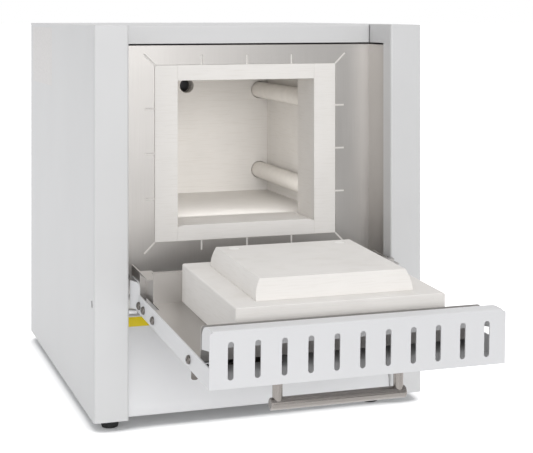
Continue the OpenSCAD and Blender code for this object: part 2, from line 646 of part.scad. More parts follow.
module at_tubes() on_body() for (s = [-1, 1], z = tube_zs) translate([s * tube_x, 0, z]) children();
tube_front = collar_back + 0.2;
tube_rear = fibre_rear_y + liner_t + 6;
module heater_tubes() color(fibre_board) at_tubes() translate([0, tube_front, 0]) rotate([-90, 0, 0]) difference() {
  cylinder(d = tube_d, h = tube_rear - tube_front);
  translate([0, 0, 4]) cylinder(r = tube_d / 2 - tube_wall, h = tube_rear);
}
coil_pitch = 16;
module heating_elements() color([0.45, 0.42, 0.40]) at_tubes() translate([0, tube_front + 8, 0]) rotate([-90, 0, 0]) {
  for (i = [0 : floor((tube_rear - tube_front - 70) / coil_pitch)]) translate([0, 0, i * coil_pitch])
    cylinder(r = tube_d / 2 - tube_wall - 0.2, h = 0.56 * coil_pitch);
  cylinder(r = tube_d / 2 - tube_wall - 2.5, h = tube_rear - tube_front - 6);
}
module heater_terminals() color([0.93, 0.92, 0.88]) at_tubes() translate([0, tube_rear, 0]) rotate([-90, 0, 0]) difference() {
  cylinder(d = tube_d + 8, h = 14);
  translate([0, 0, -1]) cylinder(r = tube_d / 2 - tube_wall - 2.2, h = 8);
  for (a = [0, 90]) rotate(a) translate([-2, -tube_d, 10]) cube([4, 2 * tube_d, 6]);
}
module thermocouple() color([0.88, 0.85, 0.78]) on_body() translate([-probe_left, rear_wall_y - probe_reach, chamber_mid])
  rotate([-90, 0, 0]) {
    translate([0, 0, probe_d / 2]) cylinder(d = probe_d, h = fibre_rear_y + liner_t - rear_wall_y + probe_reach);
    translate([0, 0, probe_d / 2]) sphere(d = probe_d);
    translate([0, 0, fibre_rear_y + liner_t - rear_wall_y + probe_reach]) cylinder(r = 9, h = 14);
  }
module exhaust_tube() color([0.88, 0.85, 0.78]) on_body() translate([0, rear_wall_y + wall_board, vent_z])
  rotate([-90, 0, 0]) difference() {
    cylinder(r = vent_d / 2 + 3, h = body_d - rear_wall_y - wall_board + 4);
    translate([0, 0, -1]) cylinder(r = vent_d / 2, h = 200);
  }
spigot_r = 20;
module exhaust_spigot() color(stainless) on_body() translate([0, body_d, vent_z]) rotate([-90, 0, 0]) difference() {
  union() {
    cylinder(r = spigot_r + 10, h = sheet_t);
    cylinder(r = spigot_r, h = spigot_len);
  }
  translate([0, 0, -1]) cylinder(r = spigot_r - 1.5, h = spigot_len + 2);
}
module mains_inlet() color(black_plastic) on_body() translate([inlet_x, body_d, inlet_z]) rotate([-90, 0, 0]) {
  difference() {
    union() {
      linear_extrude(2.5) round_rect([-24, -13.5], [24, 13.5], 3);
      translate([0, 0, -20]) linear_extrude(20) square([28, 20], center = true);
    }
    translate([0, 0, -15]) linear_extrude(30) square([24, 16], center = true);
  }
  for (x = [-7, 0, 7]) translate([x - 1, x == 0 ? -6 : -1, -16]) cube([2, 4, 13]);
}
rivet_z = [for (i = [0 : 2]) shelf_z + 70 + i * (body_h - shelf_z - 130) / 2];
module panel_rivets() color("silver") on_body() both_sides() for (z = rivet_z)
  translate([half_w - sheet_t, recess_deep + 60, z]) rotate([0, -90, 0]) {
    cylinder(r = 4, h = casing_gap);
    translate([0, 0, casing_gap - 1]) cylinder(r = 7, h = 1);
  }
relay_z = lip_low + sheet_t;
relay_size = [45, 58, 26];
relay_at = [-5.5, body_d - 231, relay_z + 12];
sink_len = 70;
contactor_size = [45, 78, 62];
contactor_at = [72.5, body_d - 241, relay_z];
module power_relay() color([0.14, 0.14, 0.15]) on_body() translate(relay_at) difference() {
  translate([-relay_size[0] / 2, -relay_size[1] / 2, 0]) cube(relay_size);
  for (x = [-1, 1], y = [-1, 1]) translate([x * (relay_size[0] / 2 - 6), y * (relay_size[1] / 2 - 6), 18])
    cylinder(r = 4, h = 20);
}
module relay_heat_sink() color("silver") on_body() translate([relay_at[0], relay_at[1] - sink_len / 2, relay_z])
  rotate([-90, 0, 0]) mirror([0, 1]) linear_extrude(sink_len) {
    translate([-35, 8]) square([70, 4]);
    for (i = [0 : 9]) translate([-35 + i * 7.5, 0]) square([2.5, 8.2]);
  }
module safety_contactor() color([0.88, 0.88, 0.86]) on_body() translate(contactor_at) difference() {
  translate([-contactor_size[0] / 2, -contactor_size[1] / 2, 0]) cube(contactor_size);
  for (i = [-1 : 1], y = [-1, 1]) translate([i * 13, y * (contactor_size[1] / 2 - 5), 60])
    cube([9, 14, 20], center = true);
}
module door_switch() color([0.20, 0.25, 0.45]) on_body() {
  box([inner_half - 4.6, slope_back + 1, shelf_z], [inner_half - liner_t - 0.1, slope_back + 19, shelf_z + 24]);
  box([inner_half - 14, slope_back + 4, shelf_z], [inner_half - 4.6, slope_back + 16, shelf_z + 1.3]);
}

module at_pins() on_body() translate([0, hinge_back, hinge_z]) both_sides() children();
bush_out = inner_half - 0.4;
bush_in = tray_half - 2;
module hinge_pins() color("silver") at_pins() rotate([0, 90, 0]) {
  translate([0, 0, bush_in - 1.8]) cylinder(r = pin_r, h = inner_half + sheet_t + 2 - bush_in + 1.8);
  translate([0, 0, inner_half + sheet_t]) cylinder(r = pin_r + 3, h = 3);
  translate([0, 0, bush_in - 1.8]) cylinder(r = pin_r + 1.3, h = 1.5);
}
module hinge_bushes() color([0.93, 0.93, 0.90]) at_pins() rotate([0, 90, 0]) difference() {
  union() {
    translate([0, 0, bush_in]) cylinder(r = bush_r, h = bush_out - bush_in);
    translate([0, 0, door_w / 2]) cylinder(r = bush_r + 2, h = bush_out - door_w / 2);
  }
  translate([0, 0, bush_in - 1]) cylinder(r = pin_r + pin_clear, h = 40);
}
// The open door's side flanges rest on these pins, which stand on the pillars' return flanges.
stop_ahead = 9.5;
module door_stops() color(paint_side) on_door() both_sides()
  translate([tray_half + 0.3, -stop_ahead, -skin_below - 0.1 - stop_d / 2]) rotate([0, 90, 0])
    cylinder(d = stop_d, h = inner_half - tray_half - 0.3);

// Outlines below are drawn in the door frame: -Y runs out along the door, Z is away from the skin.
// A plate bent outward at the front of each hinge ear closes the gap to the pillar.
riser_out = inner_half - liner_t - 0.6;
riser_front = screw_head_r + 0.2 - screw_s[0];
riser_rear = -9;
riser_low = -4;
module ear_riser() intersection() {
  translate([0, 0, riser_low]) linear_extrude(ear_up - riser_low)
    polygon(ribbon([[door_w / 2, riser_front], [riser_out, riser_rear]], sheet_t));
  rotate([90, 0, 0]) linear_extrude(2 * ear_front)
    round_rect([tray_half, riser_low - 10], [riser_out + 10, ear_up], 4);
}
module ear_outline() {
  r = 8;
  polygon(concat([[ear_rear, -skin_below], [ear_rear, ear_up - 3]],
    arc([ear_rear - 3, ear_up - 3], 3, 0, 90, 4), arc([-ear_front + r, ear_up - r], r, 90, 180, 8),
    [[-ear_front, arm_h - skin_below], [-ear_front, -skin_below]]));
}
module arm_outline() {
  ear_outline();
  polygon([[-ear_front + 1, -skin_below], [-ear_front + 1, arm_h - skin_below],
    [-door_len + sheet_t, arm_h - skin_below], [-door_len + sheet_t, -skin_below]]);
}
skin_rear = 9;
end_top = end_h - skin_below;
// The end panel's top is folded rearward and down into a rounded box with closed ends.
fold_half = door_w / 2 - 3;
fold_flat = 13;
fold_run = 24;
fold_fall = 14;
fold_low = 20;
fold_rear = -door_len + fold_flat + fold_run;
fold_curve = [for (a = [90 : -10 : 0])
  [fold_rear - fold_run + fold_run * cos(a), end_top - fold_fall + fold_fall * sin(a)]];
module door_shell() color(paint_front) difference() {
  on_door() {
    fold = concat([[-door_len, end_top - 6]], arc([-door_len + bend_r, end_top - bend_r], bend_r, 180, 90),
      fold_curve, [[fold_rear, fold_low]]);
    box([-door_w / 2, -door_len, -skin_below], [door_w / 2, skin_rear, -skin_below + sheet_t]);
    translate([0, -door_len + sheet_t, 0]) rotate([90, 0, 0]) linear_extrude(sheet_t)
      round_rect([-door_w / 2, -skin_below], [door_w / 2, end_top - bend_r / 2], 2.5);
    across(-fold_half, fold_half) polygon(ribbon(fold, -sheet_t));
    both_sides() {
      across(tray_half, door_w / 2) arm_outline();
      across(fold_half - sheet_t, fold_half) polygon(concat([[-door_len + sheet_t / 2, fold_low + 7],
        [-door_len + sheet_t / 2, end_top - bend_r]], fold_curve, [[fold_rear, fold_low]]));
      ear_riser();
    }
  }
  on_door() {
    for (i = [0 : slot_count - 1]) translate([(i - (slot_count - 1) / 2) * slot_pitch, -door_len, 0.6 + slot_h / 2])
      rotate([90, 0, 0]) linear_extrude(8, center = true) slot(slot_w, slot_h);
    for (s = screw_s) translate([0, -s, screw_up]) rotate([0, 90, 0]) cylinder(r = screw_hole_r, h = body_w, center = true);
    rotate([0, 90, 0]) cylinder(r = bush_r + 0.05, h = body_w, center = true);
    for (x = [-1, 1]) translate([x * post_pitch / 2, -bar_at, -skin_below]) cylinder(r = 2.2, h = 10, center = true);
    translate([-air_x + air_travel / 2, -air_at, -skin_below - 1]) linear_extrude(sheet_t + 2)
      rotate(90) slot(2 * air_neck_r + 0.6, air_travel + 2 * air_neck_r + 0.6);
    for (i = [0, 1]) translate([-air_x + air_first + i * 2 * air_travel, -air_at, -skin_below - 1])
      cylinder(r = air_hole_r, h = sheet_t + 2);
  }
}
air_neck_r = 2.5;
air_knob_r = 3.4;
air_knob_h = 12.5;
air_first = 34;
air_hole_r = 6;
air_plate_t = 1.2;
air_plate_w = 20;
// The slide's plate lies on the skin inside the door: its holes meet the skin's as the knob is pushed.
module air_slide() color("silver") on_door() translate([-air_x, -air_at, -skin_below]) {
  translate([0, 0, -air_knob_h]) cylinder(r1 = air_knob_r - 0.6, r2 = air_knob_r, h = 1);
  translate([0, 0, 1 - air_knob_h]) cylinder(r = air_knob_r, h = air_knob_h - 1.2);
  translate([0, 0, -0.4]) cylinder(r = air_neck_r, h = sheet_t + 1);
  translate([0, 0, sheet_t + 0.1]) linear_extrude(air_plate_t) difference() {
    translate([-4, -air_plate_w / 2]) square([4 + air_first + 2 * air_travel + 10, air_plate_w]);
    for (i = [0, 1]) translate([air_first - air_travel + i * 2 * air_travel, 0]) circle(air_hole_r);
  }
}
module hook_outline() polygon(concat([[-22, -skin_below + 2], [-22, hook_up], [hook_rear, hook_up]],
  [[hook_rear, hook_up - 9]], arc([hook_rear + 4, hook_up - 27], 18, 100, 168, 5),
  [[hook_rear - 13, -skin_below + 2]]));
edge_low = tray_up - 4.5;
cover_rear = 15;
hole_front = -tray_wall - 27;
module door_tray() color(stainless) difference() {
  on_door() {
    box([-tray_floor_half, -tray_end, tray_up - liner_t], [tray_floor_half, -tray_wall, tray_up]);
    translate([0, -tray_end + liner_t, 0]) rotate([90, 0, 0]) linear_extrude(liner_t)
      round_rect([-tray_floor_half + 1, edge_low], [tray_floor_half - 1, tray_front_up], 3);
    box([-step_half, -tray_wall, tray_up - liner_t], [step_half, -tray_wall + liner_t, tray_wall_up]);
    box([-step_half, -tray_wall, tray_wall_up - liner_t], [step_half, -tray_wall + 8, tray_wall_up]);
    both_sides() {
      across(tray_half - sheet_t, tray_half) hook_outline();
      box([tray_half - sheet_t, -tray_end, -skin_below + 2], [tray_half, -21, edge_low]);
      // A fold along the floor's edge leaves a narrow groove beside the shell's flange.
      box([tray_floor_half - liner_t, -tray_end, edge_low - liner_t], [tray_floor_half, hole_front, tray_up]);
      box([tray_floor_half - liner_t, -tray_end, edge_low - liner_t], [tray_half, hole_front, edge_low]);
      box([step_half - liner_t, -22, -skin_below + 2], [tray_half, -22 + liner_t, hook_up - 4]);
      box([step_half - liner_t, -tray_wall, tray_up - liner_t], [step_half, -22 + liner_t, hook_up]);
      box([step_half - 8, -tray_wall, hook_up - liner_t], [tray_half, -cover_rear, hook_up]);
    }
  }
  on_door() {
    both_sides() box([step_half, hole_front, tray_up - 3], [tray_half - sheet_t, -tray_wall + 4, tray_up + 1]);
    for (s = screw_s) translate([0, -s, screw_up]) rotate([0, 90, 0]) cylinder(r = screw_hole_r, h = body_w, center = true);
    rotate([0, 90, 0]) cylinder(r = bush_r + 0.05, h = body_w, center = true);
  }
}
module door_screws() color([0.35, 0.34, 0.33]) on_door() both_sides() for (s = screw_s)
  translate([door_w / 2, -s, screw_up]) rotate([0, 90, 0]) difference() {
    rotate_extrude() polygon(concat([[0, -4.4], [screw_r, -4.4], [screw_r, 0], [screw_head_r, 0]],
      [for (a = [0 : 15 : 75]) [1.6 + (screw_head_r - 1.6) * cos(a), 0.7 + (screw_head_h - 0.7) * sin(a)]],
      [[0, screw_head_h]]));
    translate([0, 0, 1]) cylinder(r = 1.7, h = 3, $fn = 6);
  }

module door_block() color(fibre_board) on_door() {
  c = 1.2;
  translate([0, -tray_wall - block_len, 0]) rotate([-90, 0, 0]) mirror([0, 1]) linear_extrude(block_len)
    polygon([[-block_w / 2, tray_up], [-block_w / 2, block_top - c], [-block_w / 2 + c, block_top],
      [block_w / 2 - c, block_top], [block_w / 2, block_top - c], [block_w / 2, tray_up]]);
}
plug_top = block_top + plug_h;
module door_plug() color(fibre_board) on_door() difference() {
  intersection() {
    // Across the door the plug's sides bulge outward on their way down.
    translate([0, -plug_start - plug_len, 0]) rotate([-90, 0, 0]) mirror([0, 1]) linear_extrude(plug_len)
      polygon(concat([for (i = [0 : 8]) plug_side(i / 8)], [for (i = [8 : -1 : 0]) let (p = plug_side(i / 8)) [-p[0], p[1]]]));
    across(-plug_w / 2, plug_w / 2) polygon([[-plug_start, block_top], [-plug_start - 2, plug_top],
      [-plug_start - plug_len + plug_slope, plug_top], [-plug_start - plug_len, block_top]]);
  }
  at_fixings() translate([0, 0, -fixing_deep]) cylinder(d = fixing_d + 0.2, h = 2 * fixing_deep);
}
function plug_side(k) = [plug_w / 2 - (plug_w - plug_top_w) / 2 * pow(k, 2.2), block_top + plug_h * k];
fixing_deep = 6;
module at_fixings() for (x = [-1, 1]) translate([x * fixing_pitch / 2, -plug_start - 14, plug_top]) children();
module plug_fixings() color([0.97, 0.97, 0.95]) on_door() at_fixings() translate([0, 0, -fixing_deep])
  cylinder(d = fixing_d, h = fixing_deep - 0.2);

washer_r = 5;
module handle_bar() color("silver") on_door() translate([0, -bar_at, -skin_below - bar_off]) rotate([0, 90, 0])
  rotate_extrude() polygon([[0, -bar_len / 2], [bar_d / 2 - 1, -bar_len / 2], [bar_d / 2, -bar_len / 2 + 1],
    [bar_d / 2, bar_len / 2 - 1], [bar_d / 2 - 1, bar_len / 2], [0, bar_len / 2]]);
module handle_posts() color("silver") on_door() difference() {
  for (x = [-1, 1]) translate([x * post_pitch / 2, -bar_at, -skin_below - bar_off]) {
    cylinder(d = post_d, h = bar_off);
    cylinder(r = 2, h = bar_off + sheet_t);
    translate([0, 0, bar_off + sheet_t]) cylinder(r = washer_r, h = 1);
    translate([0, 0, bar_off + sheet_t + 1]) cylinder(r = 4, h = 3, $fn = 6);
  }
  translate([0, -bar_at, -skin_below - bar_off]) rotate([0, 90, 0]) cylinder(d = bar_d + 0.02, h = 2 * bar_len, center = true);
}

left_side_panel();
right_side_panel();
top_panel();
rear_cover();
base_tray();
front_console();
front_liner();
inner_casing();
support_rails();
feet();
collar_left_board();
collar_right_board();
collar_top_board();
collar_bottom_board();
chamber_side_walls();
chamber_roof();
chamber_floor();
chamber_rear_wall();
front_insulation();
side_insulation();
roof_insulation();
floor_insulation();
rear_insulation();
heater_tubes();
heating_elements();
thermocouple();
exhaust_tube();
exhaust_spigot();
heater_terminals();
mains_inlet();
rear_screws();
panel_rivets();
accent_strip();
controller_bezel();
controller_display();
control_board();
key_up();
key_down();
key_menu();
key_start();
limiter_knob();
limiter_body();
switch_frame();
switch_rocker();
power_relay();
relay_heat_sink();
safety_contactor();
door_switch();
hinge_pins();
hinge_bushes();
door_stops();
door_shell();
door_tray();
door_block();
door_plug();
plug_fixings();
air_slide();
handle_bar();
handle_posts();
door_screws();
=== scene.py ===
"""Dresses the dental laboratory furnace: paint, stainless, fibre board, fittings and studio."""

import json
import math

import bmesh
import bpy
from mathutils import Matrix, Vector


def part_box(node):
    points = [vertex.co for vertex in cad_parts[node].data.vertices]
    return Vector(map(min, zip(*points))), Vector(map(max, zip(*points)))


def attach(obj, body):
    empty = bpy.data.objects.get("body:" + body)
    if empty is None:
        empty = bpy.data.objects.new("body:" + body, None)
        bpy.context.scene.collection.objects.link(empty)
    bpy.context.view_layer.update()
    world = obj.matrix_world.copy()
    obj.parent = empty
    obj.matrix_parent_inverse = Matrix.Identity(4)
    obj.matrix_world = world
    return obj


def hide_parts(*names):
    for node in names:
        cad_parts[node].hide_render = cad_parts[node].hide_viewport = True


bl_info = {
    "name": "Dental furnace dressing",
    "version": (1, 0, 0),
    "blender": (4, 5, 0),
    "location": "View3D > Sidebar > Furnace",
    "description": "Finishes the sheet metal, the muffle, the door and the controls of a dental furnace",
    "category": "Object",
}

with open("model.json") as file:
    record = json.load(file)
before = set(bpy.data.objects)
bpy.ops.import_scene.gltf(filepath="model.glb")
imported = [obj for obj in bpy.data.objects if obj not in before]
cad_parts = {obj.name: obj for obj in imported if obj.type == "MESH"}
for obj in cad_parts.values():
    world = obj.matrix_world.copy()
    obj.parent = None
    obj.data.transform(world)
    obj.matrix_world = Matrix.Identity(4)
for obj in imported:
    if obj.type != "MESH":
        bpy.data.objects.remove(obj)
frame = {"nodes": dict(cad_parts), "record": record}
NODES = frame["nodes"]
BODIES = frame["record"]["behaviour"]["bodies"]
BODY_OF = {node: body for body, members in BODIES.items() for node in members}
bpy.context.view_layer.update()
MM = 0.001

# Edge radii of the smaller pieces
THIN_EDGE = 0.1 * MM
SCREW_EDGE = 0.2 * MM
MOULDED_EDGE = 0.3 * MM
COLLAR_EDGE = 0.4 * MM
CERAMIC_EDGE = 0.5 * MM
RUBBER_EDGE = 0.6 * MM


def linear(hex_colour):
    """sRGB hex value as linear red, green and blue."""
    channels = [int(hex_colour[i:i + 2], 16) / 255 for i in (0, 2, 4)]
    return tuple(c / 12.92 if c <= 0.04045 else ((c + 0.055) / 1.055) ** 2.4 for c in channels)


def colour(label, text, hex_colour):
    """A colour that the user can change in the panel."""
    return bpy.props.FloatVectorProperty(
        name=label, description=text, subtype="COLOR", size=3, min=0.0, max=1.0, default=linear(hex_colour))


def length(label, text, millimetres, low, high):
    """A length that the user can change in the panel."""
    return bpy.props.FloatProperty(
        name=label, description=text, subtype="DISTANCE", unit="LENGTH",
        default=millimetres * MM, min=low * MM, max=high * MM)


def strength(label, text, default, unit="NONE"):
    """A light's strength that the user can change in the panel."""
    return bpy.props.FloatProperty(
        name=label, description=text, unit=unit, default=default, min=0.0, max=10.0)


class FurnacePaint(bpy.types.PropertyGroup):
    # Slightly darker than the front grey; on the top panel it darkens the recessed lintel, which is painted
    # shade
    housing_grey: colour("Housing grey", "Powder coat of the sides, the top, the rear and the base", "CFCFCF")
    front_grey: colour("Front grey", "Powder coat of the console and the door", "DBDBDC")
    strip_yellow: colour("Strip yellow", "Enamel of the strip over the console", "E4CC0A")
    peel_pitch: length("Orange peel pitch", "Distance between the ripples of the powder coat", 1.6, 0.5, 4.0)


class FurnaceMetal(bpy.types.PropertyGroup):
    sheet_tone: colour("Stainless tone", "Reflected colour of the stainless sheet", "B9B6B3")
    turned_tone: colour("Turned steel tone", "Reflected colour of the handle and its posts", "8F8A86")
    brush_pitch: length("Brushing pitch", "Distance between the brushed lines", 0.5, 0.1, 2.0)
    edge_radius: length("Sheet edge radius", "Deburred edge of the sheet metal", 0.25, 0.05, 1.0)


class FurnaceFibre(bpy.types.PropertyGroup):
    board_white: colour("Board white", "Pressed ceramic fibre board", "EAE7E3")
    tube_white: colour("Tube white", "Fired ceramic of the heater tubes", "EAE6E0")
    edge_radius: length("Board edge radius", "Worn edge of the door's fibre block and plug", 1.1, 0.2, 4.0)
    grain_pitch: length("Saw mark pitch", "Distance between the fine saw marks", 1.4, 0.4, 4.0)


class FurnaceTrim(bpy.types.PropertyGroup):
    plate_wide: length("Plate width", "Rating plate, along the depth of the furnace", 157, 40, 200)
    plate_tall: length("Plate height", "Rating plate, up the side", 75, 20, 100)
    plate_thick: length("Plate thickness", "Foil of the rating plate", 0.1, 0.05, 1)
    plate_corner: length("Plate corner radius", "Rounded corners of the rating plate", 2, 0.5, 10)
    plate_back: length("Plate distance", "From the pillar front to the middle of the plate", 359.5, 100, 380)
    plate_up: length("Plate level", "Middle of the plate over the bench", 401.5, 50, 402)
    plug_back: length("Blanking plug distance", "From the pillar front to the middle of the plug", 8.5, 4, 18)
    plug_up: length("Blanking plug level", "Middle of the plug over the bench", 167, 100, 300)


class FurnaceStudio(bpy.types.PropertyGroup):
    lens: bpy.props.FloatProperty(
        name="Focal length", description="Lens on a 36 mm wide sensor", unit="CAMERA",
        default=91.12, min=20, max=300)
    shift: bpy.props.FloatVectorProperty(
        name="Lens shift", description="Sideways and upward shift in widths of the picture", size=2,
        default=(-0.0283, -0.397), min=-1, max=1)
    turn: bpy.props.FloatProperty(
        name="Camera turn", description="How far the camera is turned round the upright", subtype="ANGLE",
        default=math.radians(-18.93), min=-math.pi, max=math.pi)
    distance: length("Camera distance", "From the pillar fronts to the lens", 1454.9, 500, 4000)
    height: length("Camera height", "Lens height over the bench", 455.3, 0, 2000)
    aside: length("Camera aside", "Lens position left of the middle", 478.2, 0, 2000)


class FurnaceLight(bpy.types.PropertyGroup):
    room: strength("Room", "Even light from all sides", 0.83)
    camera_lamp: strength("Camera lamp", "Broad lamp beside the camera", 0.90)
    high_lamp: strength("High lamp", "Broad lamp above the camera", 0.15)
    muffle_lamp: strength("Muffle lamp", "Hidden lamp behind the collar's top board", 0.064, "POWER")
    wall_lamp: strength("Wall lamp", "Hidden lamp that lights the muffle's right wall", 0.043, "POWER")
    console_lamp: strength("Console lamp", "Hidden lamp under the open door", 0.118, "POWER")
    slot_lamp: strength("Slot lamp", "Hidden lamp inside the door, behind its slots", 0.0136, "POWER")
    card_left: strength("Left card", "Bright card that the metal mirrors", 2.3)
    card_right: strength("Right card", "Grey card that the metal mirrors", 0.45)
    card_floor: strength("Floor card", "Dark card on the bench that the metal mirrors", 0.02)


# Materials

def add(tree, kind, settings=None, inputs=None, links=None):
    """Adds one node with its settings, socket values and links."""
    node = tree.nodes.new(kind)
    for name, value in (settings or {}).items():
        setattr(node, name, value)
    for socket, value in (inputs or {}).items():
        node.inputs[socket].default_value = value
    for socket, source in (links or {}).items():
        tree.links.new(source, node.inputs[socket])
    return node


def blank(name):
    """A new material with a shader, its output and object coordinates."""
    made = bpy.data.materials.new(name)
    made.use_nodes = True
    tree = made.node_tree
    tree.nodes.clear()
    shader = add(tree, "ShaderNodeBsdfPrincipled")
    add(tree, "ShaderNodeOutputMaterial", links={"Surface": shader.outputs[0]})
    place = add(tree, "ShaderNodeTexCoord").outputs["Object"]
    return made, tree, shader, place


def grain(millimetres):
    """Texture scale that gives a pattern the stated size."""
    return 1000 / millimetres


def stretched(tree, place, pitches):
    """Coordinates in which one unit is the given number of millimetres along X, Y and Z."""
    scale = [grain(pitch) for pitch in pitches]
    return add(tree, "ShaderNodeMapping", inputs={"Scale": scale}, links={"Vector": place}).outputs[0]


def tone(tree, factor, dark, light, low=0.3, high=0.7):
    """Runs a pattern between two colours."""
    ramp = add(tree, "ShaderNodeValToRGB", links={"Fac": factor})
    ramp.color_ramp.elements[0].position = low
    ramp.color_ramp.elements[1].position = high
    ramp.color_ramp.elements[0].color = (*dark, 1)
    ramp.color_ramp.elements[1].color = (*light, 1)
    return ramp.outputs[0]


def shade(rgb, factor):
    """The colour made darker or lighter by a factor."""
    return tuple(min(1.0, c * factor) for c in rgb)


def paint_over(tree, shader, factor, dark, light):
    """Runs a pattern between two colours on the shader."""
    tree.links.new(tone(tree, factor, dark, light), shader.inputs["Base Color"])


def powder_coat(name, rgb, peel):
    """Polyester powder coat, baked on sheet steel: satin, with a faint orange peel."""
    cloud_mm = 90
    made, tree, shader, place = blank(name)
    ripples = add(tree, "ShaderNodeTexNoise", inputs={"Scale": 1 / peel, "Detail": 2.0},
                  links={"Vector": place})
    clouds = add(tree, "ShaderNodeTexNoise", inputs={"Scale": grain(cloud_mm), "Detail": 3.0},
                 links={"Vector": place})
    paint_over(tree, shader, clouds.outputs[0], shade(rgb, 0.985), shade(rgb, 1.01))
    gloss = add(tree, "ShaderNodeMapRange", inputs={"To Min": 0.36, "To Max": 0.46},
                links={"Value": ripples.outputs[0]})
    bump = add(tree, "ShaderNodeBump", inputs={"Strength": 0.12, "Distance": 0.06 * MM},
               links={"Height": ripples.outputs[0]})
    tree.links.new(gloss.outputs[0], shader.inputs["Roughness"])
    tree.links.new(bump.outputs[0], shader.inputs["Normal"])
    shader.inputs["IOR"].default_value = 1.5
    return made


def brushed_stainless(name, rgb, pitch, along, rough=0.34):
    """Austenitic stainless sheet with a fine ground finish: soft streaks along one direction."""
    streak_mm = 70
    cloud_mm = 60
    made, tree, shader, place = blank(name)
    pitches = [pitch / MM] * 3
    pitches[along] = streak_mm
    lines = add(tree, "ShaderNodeTexNoise", inputs={"Scale": 1.0, "Detail": 3.0},
                links={"Vector": stretched(tree, place, pitches)})
    mill = add(tree, "ShaderNodeTexNoise", inputs={"Scale": grain(cloud_mm), "Detail": 2.0},
               links={"Vector": place})
    both = add(tree, "ShaderNodeMix", {"data_type": "FLOAT"}, {"Factor": 0.4},
               {"A": lines.outputs[0], "B": mill.outputs[0]})
    paint_over(tree, shader, both.outputs[0], shade(rgb, 0.93), shade(rgb, 1.05))
    gloss = add(tree, "ShaderNodeMapRange", inputs={"To Min": rough - 0.06, "To Max": rough + 0.08},
                links={"Value": lines.outputs[0]})
    bump = add(tree, "ShaderNodeBump", inputs={"Strength": 0.10, "Distance": 0.03 * MM},
               links={"Height": lines.outputs[0]})
    tree.links.new(gloss.outputs[0], shader.inputs["Roughness"])
    tree.links.new(bump.outputs[0], shader.inputs["Normal"])
    shader.inputs["Metallic"].default_value = 1.0
    return made


def fibre_board(name, rgb, pitch, across=2):
    """Vacuum-formed ceramic fibre board, sawn and sanded: dry and matt, with faint saw marks and nicks."""
    mark_mm = 26
    cloud_mm = 45
    nick_mm = 13
    felt_mm = 1.2
    made, tree, shader, place = blank(name)
    pitches = [mark_mm] * 3
    pitches[across] = pitch / MM
    marks = add(tree, "ShaderNodeTexNoise", inputs={"Scale": 1.0, "Detail": 4.0},
                links={"Vector": stretched(tree, place, pitches)})
    clouds = add(tree, "ShaderNodeTexNoise", inputs={"Scale": grain(cloud_mm), "Detail": 4.0},
                 links={"Vector": place})
    specks = add(tree, "ShaderNodeTexVoronoi", inputs={"Scale": grain(nick_mm)}, links={"Vector": place})
    spots = add(tree, "ShaderNodeMapRange",
                inputs={"From Min": 0.02, "From Max": 0.05, "To Min": 0.9, "To Max": 1.0},
                links={"Value": specks.outputs["Distance"]})
    base = tone(tree, clouds.outputs[0], shade(rgb, 0.975), shade(rgb, 1.015))
    streaks = tone(tree, marks.outputs[0], (0.955, 0.95, 0.94), (1.0, 1.0, 1.0), 0.25, 0.5)
    mixed = add(tree, "ShaderNodeMix", {"data_type": "RGBA", "blend_type": "MULTIPLY"}, {"Factor": 1.0},
                {"A": base, "B": streaks})
    dotted = add(tree, "ShaderNodeMix", {"data_type": "RGBA", "blend_type": "MULTIPLY"}, {"Factor": 1.0},
                 {"A": mixed.outputs[2], "B": spots.outputs[0]})
    tree.links.new(dotted.outputs[2], shader.inputs["Base Color"])
    felt = add(tree, "ShaderNodeTexNoise", inputs={"Scale": grain(felt_mm), "Detail": 3.0},
               links={"Vector": place})
    height = add(tree, "ShaderNodeMix", {"data_type": "FLOAT"}, {"Factor": 0.45},
                 {"A": felt.outputs[0], "B": marks.outputs[0]})
    bump = add(tree, "ShaderNodeBump", inputs={"Strength": 0.35, "Distance": 0.22 * MM},
               links={"Height": height.outputs[0]})
    tree.links.new(bump.outputs[0], shader.inputs["Normal"])
    shader.inputs["Roughness"].default_value = 0.95
    shader.inputs["Specular IOR Level"].default_value = 0.2
    return made


def fired_ceramic(name, rgb):
    """Extruded alumina, fired without glaze: off-white with a slight sheen."""
    cloud_mm = 14
    made, tree, shader, place = blank(name)
    clouds = add(tree, "ShaderNodeTexNoise", inputs={"Scale": grain(cloud_mm), "Detail": 4.0},
                 links={"Vector": place})
    paint_over(tree, shader, clouds.outputs[0], shade(rgb, 0.96), shade(rgb, 1.02))
    bump = add(tree, "ShaderNodeBump", inputs={"Strength": 0.15, "Distance": 0.1 * MM},
               links={"Height": clouds.outputs[0]})
    tree.links.new(bump.outputs[0], shader.inputs["Normal"])
    shader.inputs["Roughness"].default_value = 0.55
    return made


def moulded_plastic(name, rgb, rough, spark_mm=0.7):
    """Moulded plastic with a spark-eroded grain, which scatters its highlights."""
    made, tree, shader, place = blank(name)
    pits = add(tree, "ShaderNodeTexNoise", inputs={"Scale": grain(spark_mm), "Detail": 2.0},
               links={"Vector": place})
    paint_over(tree, shader, pits.outputs[0], shade(rgb, 0.92), shade(rgb, 1.06))
    bump = add(tree, "ShaderNodeBump", inputs={"Strength": 0.2, "Distance": 0.05 * MM},
               links={"Height": pits.outputs[0]})
    tree.links.new(bump.outputs[0], shader.inputs["Normal"])
    shader.inputs["Roughness"].default_value = rough
    return made


def plated_steel(name, rgb, rough):
    """Turned or pressed steel with a thin plated skin: small clouds in its shine."""
    cloud_mm = 3
    made, tree, shader, place = blank(name)
    clouds = add(tree, "ShaderNodeTexNoise", inputs={"Scale": grain(cloud_mm), "Detail": 3.0},
                 links={"Vector": place})
    paint_over(tree, shader, clouds.outputs[0], shade(rgb, 0.88), shade(rgb, 1.06))
    gloss = add(tree, "ShaderNodeMapRange", inputs={"To Min": rough - 0.05, "To Max": rough + 0.08},
                links={"Value": clouds.outputs[0]})
    tree.links.new(gloss.outputs[0], shader.inputs["Roughness"])
    shader.inputs["Metallic"].default_value = 1.0
    return made


